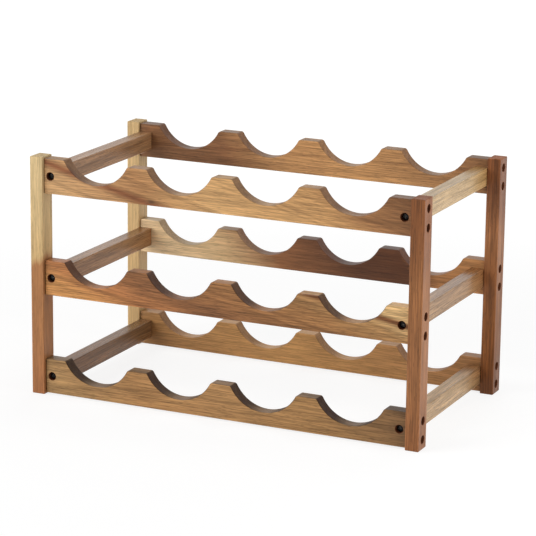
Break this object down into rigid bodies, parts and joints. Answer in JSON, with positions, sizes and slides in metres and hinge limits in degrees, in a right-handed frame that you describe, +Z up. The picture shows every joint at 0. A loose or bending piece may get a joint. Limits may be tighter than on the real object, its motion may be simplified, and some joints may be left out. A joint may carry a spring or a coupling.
{
  "type": "wine rack",
  "caption": "Low wooden wine rack: corner posts carry tiers of scalloped cradle rails, joined by plain side rails and counterbored screws; bottles lie front to back.",
  "frame": {"origin": "on the floor, under the middle of the rack", "axes": "+X along the rack's length to the right, +Y from the front to the back, +Z up"},
  "size_m": [0.45, 0.24, 0.262],
  "materials": {
    "wood_pale": "pale oiled acacia sapwood, satin",
    "wood_golden": "golden brown oiled acacia, satin",
    "wood_tan": "tan oiled acacia with dark streaks, satin",
    "wood_red_brown": "red-brown oiled acacia heartwood, satin",
    "wood_dark": "dark red-brown oiled acacia heartwood, satin",
    "screw_black": "blackened steel, satin"
  },
  "bodies": {
    "root": {"post_front_left": "wood_pale", "post_back_left": "wood_pale", "post_front_right": "wood_red_brown", "post_back_right": "wood_dark", "cradle_rail_front_top": "wood_golden", "cradle_rail_front_middle": "wood_golden", "cradle_rail_front_bottom": "wood_tan", "cradle_rail_back_top": "wood_tan", "cradle_rail_back_middle": "wood_red_brown", "cradle_rail_back_bottom": "wood_golden", "side_rail_left_top": "wood_tan", "side_rail_left_middle": "wood_tan", "side_rail_left_bottom": "wood_red_brown", "side_rail_right_top": "wood_pale", "side_rail_right_middle": "wood_tan", "side_rail_right_bottom": "wood_golden", "post_screw_upper_front_left_bottom": "screw_black", "post_screw_upper_front_left_middle": "screw_black", "post_screw_upper_front_left_top": "screw_black", "post_screw_upper_front_right_bottom": "screw_black", "post_screw_upper_front_right_middle": "screw_black", "post_screw_upper_front_right_top": "screw_black", "post_screw_upper_back_left_bottom": "screw_black", "post_screw_upper_back_left_middle": "screw_black", "post_screw_upper_back_left_top": "screw_black", "post_screw_upper_back_right_bottom": "screw_black", "post_screw_upper_back_right_middle": "screw_black", "post_screw_upper_back_right_top": "screw_black", "post_screw_lower_front_left_bottom": "screw_black", "post_screw_lower_front_left_middle": "screw_black", "post_screw_lower_front_left_top": "screw_black", "post_screw_lower_front_right_bottom": "screw_black", "post_screw_lower_front_right_middle": "screw_black", "post_screw_lower_front_right_top": "screw_black", "post_screw_lower_back_left_bottom": "screw_black", "post_screw_lower_back_left_middle": "screw_black", "post_screw_lower_back_left_top": "screw_black", "post_screw_lower_back_right_bottom": "screw_black", "post_screw_lower_back_right_middle": "screw_black", "post_screw_lower_back_right_top": "screw_black", "rail_screw_front_left_bottom": "screw_black", "rail_screw_front_left_middle": "screw_black", "rail_screw_front_left_top": "screw_black", "rail_screw_front_right_bottom": "screw_black", "rail_screw_front_right_middle": "screw_black", "rail_screw_front_right_top": "screw_black", "rail_screw_back_left_bottom": "screw_black", "rail_screw_back_left_middle": "screw_black", "rail_screw_back_left_top": "screw_black", "rail_screw_back_right_bottom": "screw_black", "rail_screw_back_right_middle": "screw_black", "rail_screw_back_right_top": "screw_black"}
  },
  "joints": []
}
